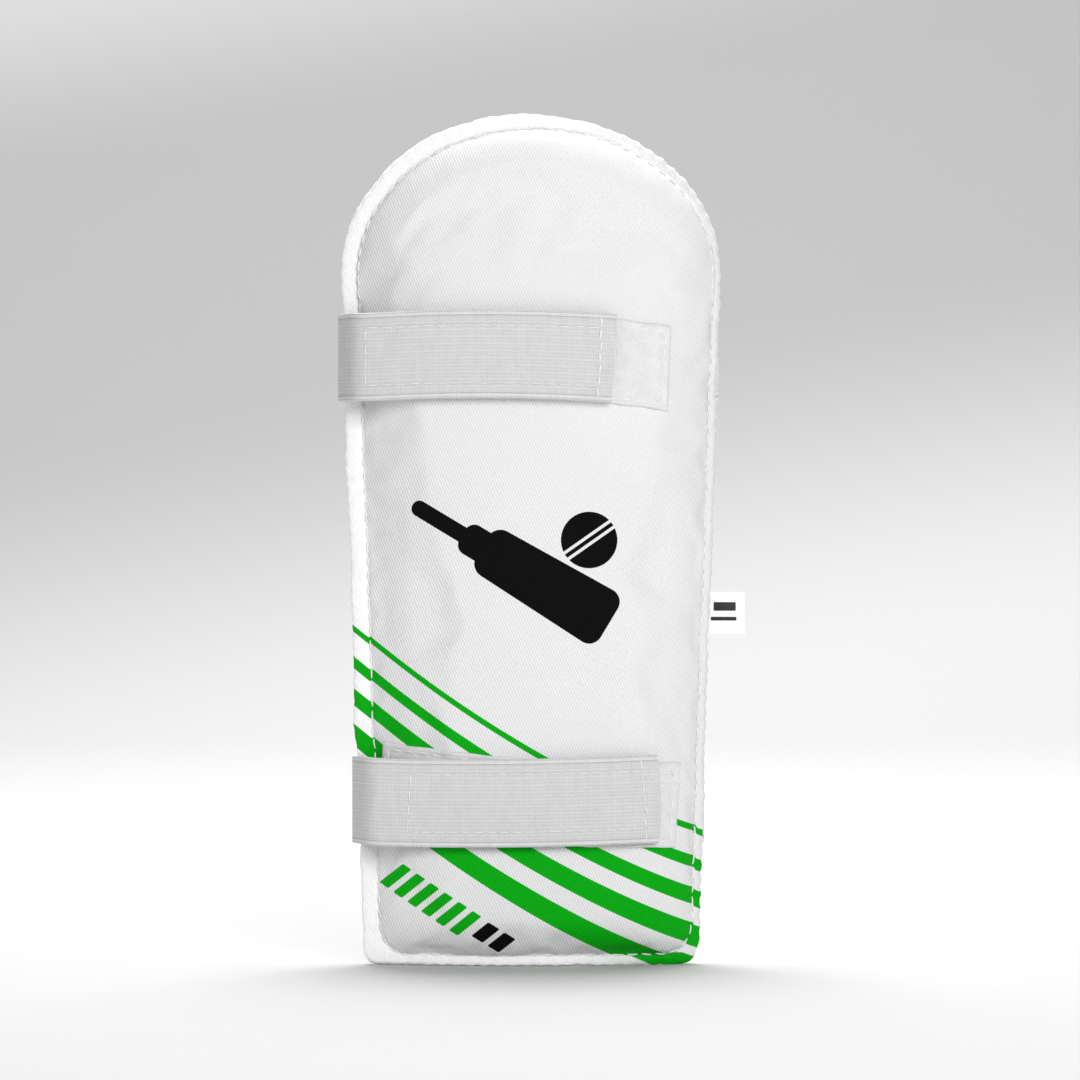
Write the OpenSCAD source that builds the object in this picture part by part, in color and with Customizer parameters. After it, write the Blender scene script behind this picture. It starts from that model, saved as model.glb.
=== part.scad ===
// Padded forearm guard: a curved foam pad in a sewn cover, held on by two elastic
// straps that wrap round one long edge and close on the front with hook and loop.
// Front is -Y, the arm side is +Y, and the pad stands on its narrow wrist end at z = 0.

/* [Pad] */
// Length of the guard, wrist end to elbow end
guard_h = 242; // [200:1:300]
// Greatest width, just below the domed elbow end
guard_w = 108; // [90:1:130]
// Width at the wrist end
base_w = 95; // [80:1:110]
// Height of the elliptical dome at the elbow end
dome_h = 45; // [30:1:60]
// Radius of the wrist-end corners
corner_r = 4; // [2:0.5:8]
// Bend radius of the seam round the forearm
bend_r = 106; // [90:1:160]

/* [Layers] */
// Front cover and back lining fabric, with their turned seam allowance
cover_t = 1; // [0.8:0.1:1.4]
// Polyester wadding under the front cover
wadding_t = 2; // [1:0.5:3]
// High-density foam that takes the blow
hd_foam_t = 9; // [6:0.5:12]
// Soft foam against the arm
soft_foam_t = 5; // [3:0.5:8]
// Width of the flat sewn edge round the pad
seam_w = 5.5; // [4:0.5:8]
// Thickness of each fabric layer in the sewn edge
seam_t = 1.2; // [0.8:0.1:1.4]

/* [Straps] */
// Width of the elastic
strap_w = 25; // [20:1:30]
// Thickness of the elastic
elastic_t = 1.4; // [1:0.1:2]
// Height of the upper strap's middle
upper_strap_z = 173; // [160:1:180]
// Height of the lower strap's middle
lower_strap_z = 47; // [40:1:60]
// How far right of the middle the upper strap ends
upper_strap_end = 24; // [15:1:30]
// How far right of the middle the lower strap ends
lower_strap_end = 36.5; // [25:0.5:40]
// Length of the strap tip that lifts first
tip_len = 28; // [20:1:35]
// Length of the hook tape under the strap
hook_len = 70; // [60:1:72]
// Width of the hook tape
hook_w = 20; // [16:1:22]
// Thickness of the hook tape
hook_t = 1.1; // [0.8:0.1:1.4]
// Gap between the hook tape and the loop patch
closure_gap = 0.55; // [0.45:0.05:0.8]

/* [Loop patches] */
// Length of the loop patch
patch_len = 84; // [70:1:88]
// Width of the loop patch
patch_w = 24; // [18:1:25]
// Thickness of the loop patch
patch_t = 1.2; // [0.8:0.1:1.4]
// Slope of the upper patch in degrees, right end down
upper_patch_tilt = 4; // [0:1:6]
// Slope of the lower patch in degrees, right end down
lower_patch_tilt = 4; // [0:1:6]
// Distance of the upper patch's middle right of the pad's middle
upper_patch_x = -2.4; // [-4:0.1:0]
// Distance of the lower patch's middle right of the pad's middle
lower_patch_x = 0; // [-2:0.1:2]
// Height of the upper patch's middle
upper_patch_z = 172.5; // [160:0.5:180]
// Height of the lower patch's middle
lower_patch_z = 48; // [40:0.5:60]

/* [Size label] */
// Height of the label's middle
label_z = 100; // [90:1:120]
// Length of the label outside the seam
label_len = 10; // [8:1:14]
// Width of the label ribbon
label_w = 12; // [10:1:15]
// Thickness of the folded label
label_t = 0.6; // [0.4:0.1:0.8]

/* [Threads] */
// Width of a sewn line
thread_w = 0.7; // [0.5:0.1:1]
// Height of a sewn line above the cloth
thread_t = 0.25; // [0.2:0.05:0.3]
// Distance of the edge stitching from the edge
edge_sew = 4.4; // [3:0.1:4.5]
// Distance of the strap, tape and patch stitching from their edges
tape_sew = 1.8; // [1.5:0.1:2.5]

/* [Hidden] */
$fn = 180;

fit = 0.2;              // side clearance of the foam in its covers
split = 0.15;           // half the gap between two bodies of one strap
under = 0.02;           // gap between the hook tape and the strap that it is sewn to
hook_in = 2.2;          // the hook tape ends this far before the strap does
thread_keep = 0.8;      // threads stop this far from a strap's bending line
clear = 0.3;            // clearance of the strap round the pad's edges
touch = 0.05;           // gap between a strap or its thread and what it lies on
edge_gap = 0.5;         // gap between the pad's edge and the fold or label beside it
corner_gap = 0.7;       // gap between the front cover's shoulder and the strap's corner
sewn_in = 0.5;          // the strap's sewn end starts this far inside the pad's edge
sewn_out = 4.4;         // and leaves the sewn edge this far inside it
anchor_row = 0.6;       // width of each row of stitches that holds the strap's end
anchor_rows = [0.4, 1.6];   // where each row starts, along the strap from its end

// Radii of the layers about the bend axis, from the arm outwards. bend_r is the middle of
// the front cover's layer in the sewn edge, so the origin lies on that layer's bottom end.
edge_front_r = bend_r + seam_t / 2;
edge_split_r = bend_r - seam_t / 2;
edge_back_r = edge_split_r - seam_t;
back_r = bend_r - 8;
soft_r = back_r + cover_t;
hd_r = soft_r + soft_foam_t;
wad_r = hd_r + hd_foam_t;
inner_front_r = wad_r + wadding_t;
front_r = inner_front_r + cover_t;
patch_r = front_r + patch_t;
hook_r = patch_r + closure_gap;
elastic_r = hook_r + hook_t;
elastic_out_r = elastic_r + elastic_t;

dome_z = guard_h - dome_h;
axis_y = bend_r;        // the bend axis is vertical, behind the pad
deep = 90;              // depth of the prisms that cut the curved layers to outline

// ---- outlines and curved layers --------------------------------------------------------

// Half the pad's width at height z, below the dome
function half_w(z) = base_w / 2 + (guard_w - base_w) / 2 * z / dome_z;

// Closed outline of the pad, moved in from its edge: two wrist corners and the dome
function outline(inset) =
    let (hb = base_w / 2 - inset, a = guard_w / 2 - inset, b = dome_h - inset)
    concat(
        [for (t = [180:15:270]) [-(hb - corner_r) + corner_r * cos(t), inset + corner_r * (1 + sin(t))]],
        [for (t = [270:15:360]) [hb - corner_r + corner_r * cos(t), inset + corner_r * (1 + sin(t))]],
        [for (t = [0:5:180]) [a * cos(t), dome_z + b * sin(t)]]
    );

// A solid as deep as the pad, with the pad's outline moved in by inset
module pad_prism(inset)
    translate([0, deep / 3, 0]) rotate([90, 0, 0]) linear_extrude(deep) polygon(outline(inset));

// Part of a cylinder wall about the bend axis
module curved_wall(r_in, r_out, low = -1, high = guard_h + 1)
    translate([0, axis_y, low]) difference() {
        cylinder(r = r_out, h = high - low);
        translate([0, 0, -1]) cylinder(r = r_in, h = high - low + 2);
    }

// A curved layer with the pad's outline
module layer(r_in, r_out, inset)
    intersection() {
        curved_wall(r_in, r_out);
        pad_prism(inset);
    }

// A curved frame that follows the pad's outline
module sewn_line(r_in, r_out, inset)
    intersection() {
        curved_wall(r_in, r_out);
        difference() {
            pad_prism(inset);
            pad_prism(inset + thread_w);
        }
    }

// ---- ribbons ---------------------------------------------------------------------------

function unit(v) = v / norm(v);
function outward(a, b) = let (d = unit(b - a)) [d[1], -d[0]];

// Outward normal at point i of a path, longer at a corner so that the ribbon keeps its thickness
function corner_normal(path, i) =
    let (last = len(path) - 1)
    i == 0 ? outward(path[0], path[1]) :
    i == last ? outward(path[last - 1], path[last]) :
    let (m = outward(path[i - 1], path[i]), n = outward(path[i], path[i + 1]))
    (m + n) / (1 + m * n);

function moved_out(path, t) = [for (i = [0:len(path) - 1]) path[i] + t * corner_normal(path, i)];
function reversed(path) = [for (i = [len(path) - 1:-1:0]) path[i]];

// A band of height w, centred on height z, between two distances outside a path in plan
module ribbon(path, t_in, t_out, z, w)
    translate([0, 0, z - w / 2]) linear_extrude(w)
        polygon(concat(moved_out(path, t_in), reversed(moved_out(path, t_out))));

// Plan positions: a point at distance r from the bend axis, by its x or by its angle
function at_x(x, r) = [x, axis_y - sqrt(r * r - x * x)];
function at_angle(t, r) = [r * sin(t), axis_y - r * cos(t)];
function angle_of(x, r) = asin(x / r);

// Arc in plan from one x to another, at distance r from the bend axis
function arc(x0, x1, r, steps = 14) =
    let (a = angle_of(x0, r), b = angle_of(x1, r))
    [for (i = [0:steps]) at_angle(a + (b - a) * i / steps, r)];

// ---- strap path, from the sewn end behind the right edge to the tip on the front ---------

function edge_x(z) = half_w(z + strap_w / 2);
function fold_x(z) = -(edge_x(z) + edge_gap);
function sewn_start(z) = at_x(edge_x(z) - sewn_in, edge_back_r) + [0, touch];
function sewn_stop(z) = at_x(edge_x(z) - sewn_out, edge_back_r) + [0, touch];
function back_corner(z) = at_x(edge_x(z) - seam_w, back_r) + [clear - touch, clear];
function fold_y(z) = (at_x(edge_x(z), edge_back_r)[1] + at_x(edge_x(z), edge_front_r)[1]) / 2;
function fold_reach(z) = (at_x(edge_x(z), edge_back_r)[1] - at_x(edge_x(z), edge_front_r)[1]) / 2 + clear;
function front_corner_x(z) = -(edge_x(z) - seam_w + corner_gap);

// The run behind the pad, which stays with it
function back_path(z) =
    let (c = back_corner(z))
    [
        sewn_start(z),
        sewn_stop(z),
        c,
        [-c[0], c[1]],
        [fold_x(z), fold_y(z) + fold_reach(z)],
        [fold_x(z), fold_y(z) + split]
    ];

// The run on the front, from the fold to the line where the tip starts to lift
function front_path(z, end) =
    concat(
        [[fold_x(z), fold_y(z) - split], [fold_x(z), fold_y(z) - fold_reach(z)]],
        arc(front_corner_x(z), end - tip_len - split, elastic_r)
    );

function tip_path(end) = arc(end - tip_len + split, end, elastic_r, 8);

// Where the hook tape starts and ends
function hook_end(end) = end - hook_in;
function hook_start(end) = hook_end(end) - hook_len;

// Vertical bar of thread across a strap, on a path at radius r
module thread_bar(x, r, z, w)
    ribbon(arc(x - thread_w / 2, x + thread_w / 2, r, 1), 0, thread_t, z, w);

// ---- pad -------------------------------------------------------------------------------

module front_cover() {
    color("whitesmoke") difference() {
        union() {
            layer(edge_split_r, edge_front_r, 0);
            layer(edge_split_r, front_r, seam_w);
        }
        layer(back_r, inner_front_r, seam_w + cover_t);
    }
}

module back_lining() {
    color("gainsboro") difference() {
        union() {
            layer(edge_back_r, edge_split_r, 0);
            layer(back_r, edge_split_r, seam_w);
        }
        layer(soft_r, front_r, seam_w + cover_t);
    }
}

module hd_foam_core() {
    color("lightsteelblue") layer(hd_r, wad_r, seam_w + cover_t + fit);
}

module soft_foam_liner() {
    color("lightyellow") layer(soft_r, hd_r, seam_w + cover_t + fit);
}

module wadding_sheet() {
    color("white") layer(wad_r, inner_front_r, seam_w + cover_t + fit);
}

// The edge stitching on the front, a closed line just inside the edge
module edge_top_thread() {
    color("white") sewn_line(edge_front_r, edge_front_r + thread_t, edge_sew);
}

// The same seam's lower thread, which runs over the strap ends as their anchor threads
module edge_bobbin_thread() {
    color("white") difference() {
        sewn_line(edge_back_r - thread_t, edge_back_r, edge_sew);
        for (z = [upper_strap_z, lower_strap_z])
            translate([0, -deep / 3, z - strap_w / 2 - clear])
                cube([guard_w, deep, strap_w + 2 * clear]);
    }
}

module size_label() {
    foot = at_x(half_w(label_z + label_w / 2) + edge_gap, bend_r);
    color("white") translate([foot[0], foot[1], label_z - label_w / 2]) union() {
        translate([0, -label_t / 2, 0]) cube([label_len - label_t / 2, label_t, label_w]);
        translate([label_len - label_t / 2, 0, 0]) cylinder(d = label_t, h = label_w);
    }
}

// ---- loop patches, sewn to the front ------------------------------------------------------

// A slanted rectangle as deep as the pad, centred on a place on the front
module slanted_block(x, z, tilt, l, w)
    translate([x, 0, z]) rotate([0, tilt, 0]) cube([l, deep, w], center = true);

module loop_patch(x, z, tilt)
    color("white") intersection() {
        curved_wall(front_r, patch_r);
        slanted_block(x, z, tilt, patch_len, patch_w);
    }

module patch_thread(x, z, tilt)
    color("white") intersection() {
        curved_wall(patch_r, patch_r + thread_t);
        difference() {
            slanted_block(x, z, tilt, patch_len - 2 * tape_sew, patch_w - 2 * tape_sew);
            slanted_block(x, z, tilt, patch_len - 2 * tape_sew - 2 * thread_w,
                          patch_w - 2 * tape_sew - 2 * thread_w);
        }
    }

// ---- strap pieces ------------------------------------------------------------------------

module strap_back(z)
    color("gainsboro") ribbon(back_path(z), 0, elastic_t, z, strap_w);

// Two short rows that hold the strap's end to the sewn edge
module anchor_thread(z) {
    start = sewn_start(z);
    step = unit(sewn_stop(z) - start);
    color("white") for (along = anchor_rows)
        ribbon([start + along * step, start + (along + anchor_row) * step],
               elastic_t, elastic_t + thread_t, z, strap_w - 2 * tape_sew);
}

module strap_front(z, end)
    color("gainsboro") ribbon(front_path(z, end), 0, elastic_t, z, strap_w);

module strap_tip(z, end)
    color("gainsboro") ribbon(tip_path(end), 0, elastic_t, z, strap_w);

module hook_front(z, end)
    color("white") ribbon(arc(hook_start(end), end - tip_len - split, hook_r), 0, hook_t - under, z, hook_w);

module hook_tip(z, end)
    color("white") ribbon(arc(end - tip_len + split, hook_end(end), hook_r, 8), 0, hook_t - under, z, hook_w);

// The sewn rectangle that holds the hook tape, on the strap's outer face: its two long
// sides from x0 to x1, and a short side at bar_x
module tape_thread(z, x0, x1, bar_x) {
    sew_w = hook_w - 2 * tape_sew;
    color("white") union() {
        for (side = [-1, 1])
            ribbon(arc(x0, x1, elastic_out_r + touch), 0, thread_t,
                   z + side * (sew_w - thread_w) / 2, thread_w);
        thread_bar(bar_x, elastic_out_r + touch, z, sew_w);
    }
}

module front_thread(z, end) {
    x0 = hook_start(end) + tape_sew;
    tape_thread(z, x0, end - tip_len - thread_keep, x0 + thread_w / 2);
}

module tip_thread(z, end) {
    x1 = hook_end(end) - tape_sew;
    tape_thread(z, end - tip_len + thread_keep, x1, x1 - thread_w / 2);
}

front_cover();
back_lining();
hd_foam_core();
soft_foam_liner();
wadding_sheet();
edge_top_thread();
edge_bobbin_thread();
size_label();

loop_patch(upper_patch_x, upper_patch_z, upper_patch_tilt);  // upper_loop_patch
patch_thread(upper_patch_x, upper_patch_z, upper_patch_tilt);  // upper_patch_thread
strap_back(upper_strap_z);  // upper_strap_back
anchor_thread(upper_strap_z);  // upper_anchor_thread
strap_front(upper_strap_z, upper_strap_end);  // upper_strap_front
hook_front(upper_strap_z, upper_strap_end);  // upper_hook_front
front_thread(upper_strap_z, upper_strap_end);  // upper_front_thread
strap_tip(upper_strap_z, upper_strap_end);  // upper_strap_tip
hook_tip(upper_strap_z, upper_strap_end);  // upper_hook_tip
tip_thread(upper_strap_z, upper_strap_end);  // upper_tip_thread

loop_patch(lower_patch_x, lower_patch_z, lower_patch_tilt);  // lower_loop_patch
patch_thread(lower_patch_x, lower_patch_z, lower_patch_tilt);  // lower_patch_thread
strap_back(lower_strap_z);  // lower_strap_back
anchor_thread(lower_strap_z);  // lower_anchor_thread
strap_front(lower_strap_z, lower_strap_end);  // lower_strap_front
hook_front(lower_strap_z, lower_strap_end);  // lower_hook_front
front_thread(lower_strap_z, lower_strap_end);  // lower_front_thread
strap_tip(lower_strap_z, lower_strap_end);  // lower_strap_tip
hook_tip(lower_strap_z, lower_strap_end);  // lower_hook_tip
tip_thread(lower_strap_z, lower_strap_end);  // lower_tip_thread
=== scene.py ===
import math
from collections import Counter
from functools import partialmethod

import bpy
import numpy as np
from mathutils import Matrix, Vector
from mathutils.bvhtree import BVHTree
from mathutils.kdtree import KDTree


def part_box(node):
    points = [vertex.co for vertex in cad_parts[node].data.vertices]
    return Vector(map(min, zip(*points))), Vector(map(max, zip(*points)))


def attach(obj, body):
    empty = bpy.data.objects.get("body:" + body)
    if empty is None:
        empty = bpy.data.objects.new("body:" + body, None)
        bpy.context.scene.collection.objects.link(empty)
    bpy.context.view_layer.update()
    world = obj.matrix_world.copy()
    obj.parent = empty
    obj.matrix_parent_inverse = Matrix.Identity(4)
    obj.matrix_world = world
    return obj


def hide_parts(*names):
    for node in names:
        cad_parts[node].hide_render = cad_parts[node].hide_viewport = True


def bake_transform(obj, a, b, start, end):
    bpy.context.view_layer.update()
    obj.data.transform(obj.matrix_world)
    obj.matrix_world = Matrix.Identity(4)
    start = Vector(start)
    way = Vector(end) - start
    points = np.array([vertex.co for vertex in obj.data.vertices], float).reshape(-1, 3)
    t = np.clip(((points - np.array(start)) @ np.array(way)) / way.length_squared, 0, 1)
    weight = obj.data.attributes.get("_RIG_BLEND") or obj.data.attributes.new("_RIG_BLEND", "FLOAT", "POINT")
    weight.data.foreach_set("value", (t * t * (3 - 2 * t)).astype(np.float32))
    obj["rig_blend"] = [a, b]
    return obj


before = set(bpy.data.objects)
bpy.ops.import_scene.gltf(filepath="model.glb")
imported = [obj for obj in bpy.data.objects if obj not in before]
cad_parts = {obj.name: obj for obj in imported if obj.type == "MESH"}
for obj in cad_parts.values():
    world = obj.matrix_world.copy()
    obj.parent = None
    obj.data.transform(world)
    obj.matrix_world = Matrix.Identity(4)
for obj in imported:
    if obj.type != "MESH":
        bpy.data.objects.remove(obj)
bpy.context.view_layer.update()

# ---- sizes, in millimetres, with the names that the CAD source uses ----
MM = 0.001
pad_low, pad_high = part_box("front_cover")
GUARD_H = pad_high.z / MM
GUARD_W = (pad_high.x - pad_low.x) / MM
BASE_W = 95
DOME_H = 45
DOME_Z = GUARD_H - DOME_H
BEND_R = 106                    # the pad is bent about a vertical axis at y = BEND_R
CORNER_R = 4
FRONT_R = 116                   # radius of the front face, about that axis
BACK_R = 98                     # radius of the arm side
STRAP_W = 25
FRONT_FROM = 60                 # a strap is past the arm side at this length from its sewn end
ELASTIC_T = 1.4
ELASTIC_R = 118.85              # radius of the elastic's inner face on the front
HOOK_R = 117.75
HOOK_T = 1.1
HOOK_W = 20
HOOK_LEN = 70
HOOK_IN = 2.2
TIP_LEN = 28
PATCH_L, PATCH_W, PATCH_T = 84, 24, 1.2
TAPE_SEW = 1.8                  # from a tape's edge in to its stitches
TAPE_ROW = HOOK_W / 2 - TAPE_SEW
RIB_H = 0.06
DENT_W, DENT_DEPTH = 0.45, 0.16         # where a stitch presses the elastic in
# arch and rise are how far a worn strap strays from level, and skew and bow shape its cut end.
# tilt, in degrees, and droop are how the loop patch under it slopes and bends down. lean is how
# far the rows of stitches across it slant, and bold is the thread's thickness in the last row.
STRAPS = {
    "upper": {"z": 173, "end": 24, "patch_x": -2.4, "patch_z": 173.4, "tilt": 2.2, "droop": 2.2,
              "arch": 1.1, "rise": -0.2, "skew": 0.8, "bow": 0.2, "lean": 0.1, "bold": 0.62},
    "lower": {"z": 47, "end": 36.5, "patch_x": 0, "patch_z": 47.2, "tilt": 4, "droop": -1.5,
              "arch": -0.6, "rise": 0.9, "skew": -0.3, "bow": 0.8, "lean": -1.0, "bold": 0.4},
}

# The sewn border as it shows: it lies flat on the left, and curls back on the right
BORDER = {"left": 5.4, "right": 1.6, "bottom": 3.2, "top": 4.6}
PANEL_CORNER_R = 8
CURL_BACK = 2.2
BORDER_HALF_T = 1.45
SEAM_HALF_T = 0.6
CLOTH_T = 0.9
NEAR_SEAM = 11.5                # the seam puckers the cloth up to this far inside it
STITCH_PITCH = 4.0
STITCH_LEN = 3.1
THREAD_D = 0.5
FINE_THREAD_D = 0.36
SEAM_AT = 0.96                  # share of the way from the edge to the border's inside
FRONT_DEPTH, BACK_DEPTH = 7.9, 6.6      # from the seam to the two faces, before the filling
SIM_STEPS = 20
SWELL = 2.4                     # most that the filling moves the cloth
SQUEEZE = 1.0                   # how far a strap pulls the left edge in
FLARE = 1.2                     # how far the left edge springs forward between the straps

rng = np.random.default_rng(7)


# ---- small helpers ----

def half_width(z):
    """Half the pad's width at height z, which grows up to the dome."""
    return BASE_W / 2 + (GUARD_W - BASE_W) / 2 * np.minimum(z, DOME_Z) / DOME_Z


def on_cylinder(x, r):
    """y of a point at distance r from the bend axis."""
    return BEND_R - np.sqrt(r * r - x * x)


def smooth_step(t):
    t = np.clip(t, 0, 1)
    return t * t * (3 - 2 * t)


def eased_edge(inset, reach, power=2):
    """From 0 at an edge to 1 at this reach inside it. Power 2 rounds it as a quarter circle."""
    t = np.clip(inset / reach, 0, 1)
    return (1 - (1 - t) ** power) ** (1 / power)


def facing(x, way):
    """0 over the middle of the pad, and 1 towards its right edge, or its left with way -1."""
    return smooth_step((way * x / GUARD_W * 2 - 0.3) / 0.5)


def lengths_along(points):
    return np.concatenate([[0], np.cumsum(np.linalg.norm(np.diff(points, axis=0), axis=1))])


def resampled(points, count):
    """count + 1 points evenly spaced along a polyline."""
    points = np.asarray(points, float)
    along = lengths_along(points)
    wanted = np.linspace(0, along[-1], count + 1)
    return np.stack([np.interp(wanted, along, points[:, k]) for k in range(points.shape[1])], 1)


def make_piece(name, verts, faces, material, uv=None, smooth=True):
    """A mesh object from millimetres, with a map in metres where its material needs one."""
    mesh = bpy.data.meshes.new(name)
    mesh.from_pydata((np.asarray(verts, float) * MM).tolist(), [], [list(f) for f in faces])
    mesh.update()
    if uv is not None:
        corners = np.zeros(len(mesh.loops), int)
        mesh.loops.foreach_get("vertex_index", corners)
        layer = mesh.uv_layers.new(name="cloth")
        layer.data.foreach_set("uv", (np.asarray(uv)[corners] * MM).astype(np.float32).ravel())
    mesh.polygons.foreach_set("use_smooth", [smooth] * len(mesh.polygons))
    piece = bpy.data.objects.new(name, mesh)
    bpy.context.scene.collection.objects.link(piece)
    if material:
        mesh.materials.append(material)
    return piece


def tube_faces(rings, sides, inward=False):
    """Quads of a tube whose points run round ring after ring. inward turns them the other way."""
    faces = []
    for a in range(0, (rings - 1) * sides, sides):
        b = a + sides
        for k in range(sides):
            n = (k + 1) % sides
            faces.append((a + k, b + k, b + n, a + n) if inward else (a + k, a + n, b + n, b + k))
    return faces


def slab(top, bottom, faces, ring):
    """Points and faces of a closed slab: its top, the same turned over, and walls round a ring."""
    count = len(top)
    under = [tuple(i + count for i in reversed(face)) for face in faces]
    walls = [(p, p + count, q + count, q) for p, q in zip(ring, ring[1:] + ring[:1])]
    return np.concatenate([top, bottom]), list(faces) + under + walls


def mesh_arrays(piece):
    """Vertices in millimetres, normals, faces and point layers, with the modifiers applied."""
    shown = piece.evaluated_get(bpy.context.evaluated_depsgraph_get()).to_mesh()
    verts = np.array([v.co for v in shown.vertices]) / MM
    normals = np.array([v.normal for v in shown.vertices])
    faces = [tuple(p.vertices) for p in shown.polygons]
    layers = {}
    for layer in shown.attributes:
        if layer.domain == "POINT" and layer.data_type == "FLOAT":
            values = np.zeros(len(verts), np.float32)
            layer.data.foreach_get("value", values)
            layers[layer.name] = values
    return verts, normals, faces, layers


# ---- node materials ----

class Field:
    """A number that varies over a surface, built from Math nodes with ordinary arithmetic."""

    def __init__(self, tree, socket):
        self.tree = tree
        self.socket = socket

    def op(self, operation, *others):
        node = self.tree.nodes.new("ShaderNodeMath")
        node.operation = operation
        self.tree.links.new(self.socket, node.inputs[0])
        for place, other in enumerate(others, start=1):
            if isinstance(other, Field):
                self.tree.links.new(other.socket, node.inputs[place])
            else:
                node.inputs[place].default_value = other
        return Field(self.tree, node.outputs[0])

    __add__ = partialmethod(op, "ADD")
    __sub__ = partialmethod(op, "SUBTRACT")
    __mul__ = partialmethod(op, "MULTIPLY")
    __truediv__ = partialmethod(op, "DIVIDE")
    __abs__ = partialmethod(op, "ABSOLUTE")
    max = partialmethod(op, "MAXIMUM")
    min = partialmethod(op, "MINIMUM")

    def clamped(self):
        return self.max(0).min(1)

    def eased(self, start, stop):
        """Rises smoothly from 0 at start to 1 at stop."""
        t = ((self - start) / (stop - start)).clamped()
        return t * t * (t * -2 + 3)

    def wave(self, pitch, phase=0):
        """1 on the crest and 0 in the trough of a wave of this pitch."""
        return ((self / pitch + phase) * math.tau).op("COSINE") * 0.5 + 0.5

    def inside(self, soft=0.06):
        """1 where a signed distance is negative, with a soft printed edge."""
        return (self * (-1 / soft) + 0.5).clamped()


class Finish:
    """A material under construction: its coordinates, its colour and its relief."""

    def __init__(self, name, mapped=True):
        self.material = bpy.data.materials.new(name)
        self.material.use_nodes = True
        self.tree = self.material.node_tree
        self.shader = self.tree.nodes["Principled BSDF"]
        self.place, self.axes = self.coordinates(mapped)

    def coordinates(self, mapped):
        """A node's output with the cloth's map, or else with x, y and z in the object, and its
        three parts in millimetres."""
        source = self.tree.nodes.new("ShaderNodeUVMap" if mapped else "ShaderNodeTexCoord")
        if mapped:
            source.uv_map = "cloth"
        place = source.outputs["UV" if mapped else "Object"]
        split = self.tree.nodes.new("ShaderNodeSeparateXYZ")
        self.tree.links.new(place, split.inputs[0])
        return place, [Field(self.tree, s) * (1 / MM) for s in split.outputs]

    def noise(self, size, detail=2.0, stretch=(1, 1, 1)):
        """Noise from 0 to 1 with features of about this size in millimetres."""
        scale = self.tree.nodes.new("ShaderNodeVectorMath")
        scale.operation = "MULTIPLY"
        scale.inputs[1].default_value = [s / (size * MM) for s in stretch]
        node = self.tree.nodes.new("ShaderNodeTexNoise")
        node.inputs["Scale"].default_value = 1
        node.inputs["Detail"].default_value = detail
        self.tree.links.new(self.place, scale.inputs[0])
        self.tree.links.new(scale.outputs[0], node.inputs["Vector"])
        return Field(self.tree, node.outputs["Fac"])

    def layer(self, name):
        node = self.tree.nodes.new("ShaderNodeAttribute")
        node.attribute_name = name
        return Field(self.tree, node.outputs["Fac"])

    def mix(self, share, low, high):
        """Colour low where share is 0, high where it is 1. Each is a colour or a node's output."""
        node = self.tree.nodes.new("ShaderNodeMix")
        node.data_type = "RGBA"
        self.tree.links.new(share.socket, node.inputs["Factor"])
        for name, colour in (("A", low), ("B", high)):
            socket = next(s for s in node.inputs if s.name == name and s.type == "RGBA")
            if isinstance(colour, tuple):
                socket.default_value = (*colour, 1)
            else:
                self.tree.links.new(colour, socket)
        return next(s for s in node.outputs if s.type == "RGBA")

    def finish(self, colour, relief, roughness, sheen=0.0, specular=0.3):
        """Links colour, relief in millimetres and roughness to the shader."""
        self.tree.links.new(colour, self.shader.inputs["Base Color"])
        self.tree.links.new(roughness.socket, self.shader.inputs["Roughness"])
        self.shader.inputs["Sheen Weight"].default_value = sheen
        self.shader.inputs["Specular IOR Level"].default_value = specular
        bump = self.tree.nodes.new("ShaderNodeBump")
        bump.inputs["Distance"].default_value = MM
        self.tree.links.new(relief.socket, bump.inputs["Height"])
        self.tree.links.new(bump.outputs[0], self.shader.inputs["Normal"])
        return self.material


GREEN = (0.002, 0.46, 0.008)
BLACK = (0.003, 0.003, 0.003)


def turned(x, z, middle, degrees):
    """Coordinates along and across a direction that slopes down to the right."""
    c, s = math.cos(math.radians(degrees)), math.sin(math.radians(degrees))
    a, b = x - middle[0], z - middle[1]
    return a * c - b * s, a * s + b * c


def rounded_box(along, across, half_l, half_w, r):
    """Signed distance to a rectangle with round corners."""
    a = (abs(along) - (half_l - r)).max(0)
    b = (abs(across) - (half_w - r)).max(0)
    return (a * a + b * b).op("SQRT") - r


def disc(x, z, middle, r):
    a, b = x - middle[0], z - middle[1]
    return (a * a + b * b).op("SQRT") - r


def stripes(x, z):
    """Five printed bands that sweep down to the right, wider towards the wrist."""
    sweep = x * x * 0.0022 - x * 0.585
    bands = [(61.6, 1.9), (52.0, 3.45), (42.2, 4.9), (31.4, 6.3), (19.1, 7.0)]
    masks = [(abs(z - sweep - height) - width / 2).inside() for height, width in bands]
    shown = masks[0]
    for mask in masks[1:]:
        shown = shown.max(mask)
    return shown


def emblem(x, z):
    """A plain cricket bat and ball, sloping down to the right."""
    along, across = turned(x, z, (-3, 113), 31)
    taper = along * 0.035
    blade = rounded_box(along - 9, abs(across) - taper, 21, 7.6, 4)
    shoulder = rounded_box(along + 9.5, across, 9, 4.6, 3)
    handle = rounded_box(along + 23, across, 12, 2.3, 2.2)
    ball_at = (17, 121)
    ball = disc(x, z, ball_at, 8)
    seam = (abs(abs(turned(x, z, ball_at, -35)[1]) - 1.0) - 0.42).inside()
    ball_shown = ball.inside() * (seam * -1 + 1)
    return blade.min(shoulder).min(handle).inside().max(ball_shown)


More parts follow.
